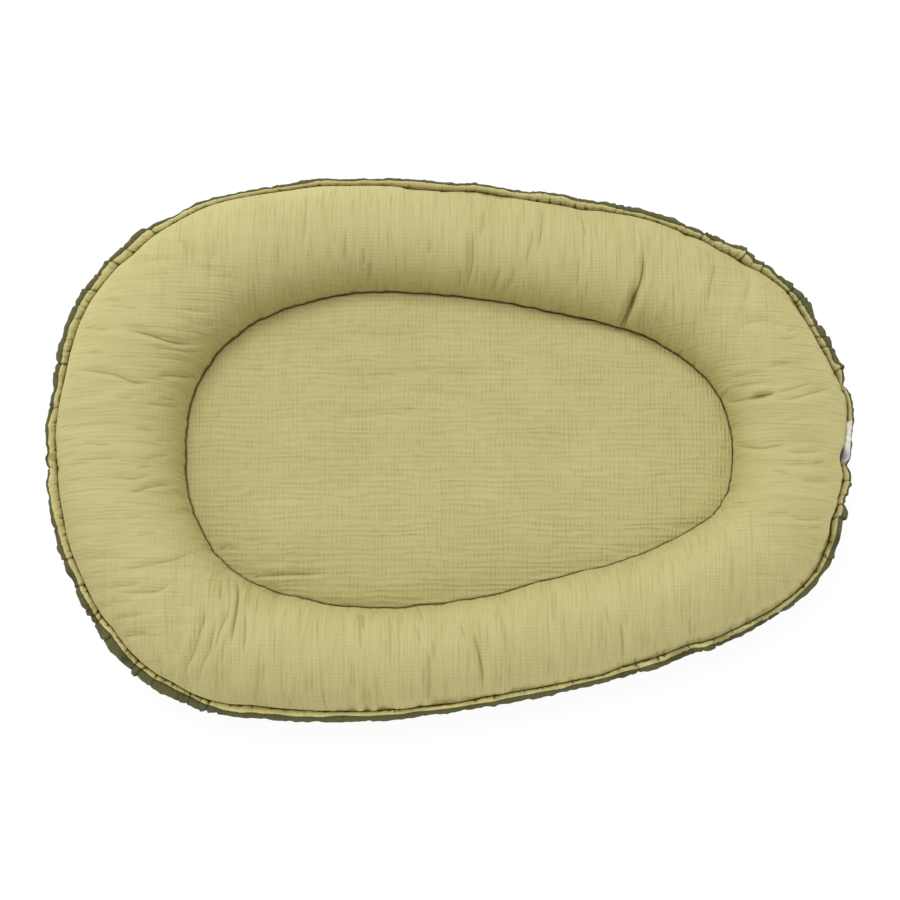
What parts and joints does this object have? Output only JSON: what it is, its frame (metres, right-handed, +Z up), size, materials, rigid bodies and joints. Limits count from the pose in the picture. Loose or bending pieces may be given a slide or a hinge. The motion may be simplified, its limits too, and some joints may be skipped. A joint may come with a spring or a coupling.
{
  "type": "infant lounger",
  "caption": "Reversible muslin baby nest: a padded floor inside an egg-shaped filled ring, with a gathered drawstring casing round the rim.",
  "frame": {"origin": "on the ground under the middle of the rim's outline", "axes": "+X runs to the narrow foot end, +Y across the nest to its left when seen from the head end, +Z up"},
  "size_m": [0.8966, 0.6143, 0.1102],
  "materials": {
    "upper_muslin": "crinkled double-gauze cotton, light olive, matt",
    "under_muslin": "crinkled double-gauze cotton, dark olive green, matt",
    "fibre_filling": "loose white hollow fibre",
    "cotton_cord": "round braided cotton cord",
    "sewing_thread": "spun polyester thread, olive",
    "satin_label": "blank white woven satin"
  },
  "bodies": {
    "root": {"upper_bolster_cover": "upper_muslin", "under_bolster_cover": "under_muslin", "bolster_filling": "fibre_filling", "upper_floor_cover": "upper_muslin", "under_floor_cover": "under_muslin", "floor_wadding": "fibre_filling", "casing_upper_strip": "upper_muslin", "casing_under_strip": "under_muslin", "drawstring": "cotton_cord", "inner_seam_thread": "sewing_thread", "casing_seam_thread": "sewing_thread", "edge_seam_thread": "sewing_thread", "seam_label": "satin_label"}
  },
  "joints": []
}
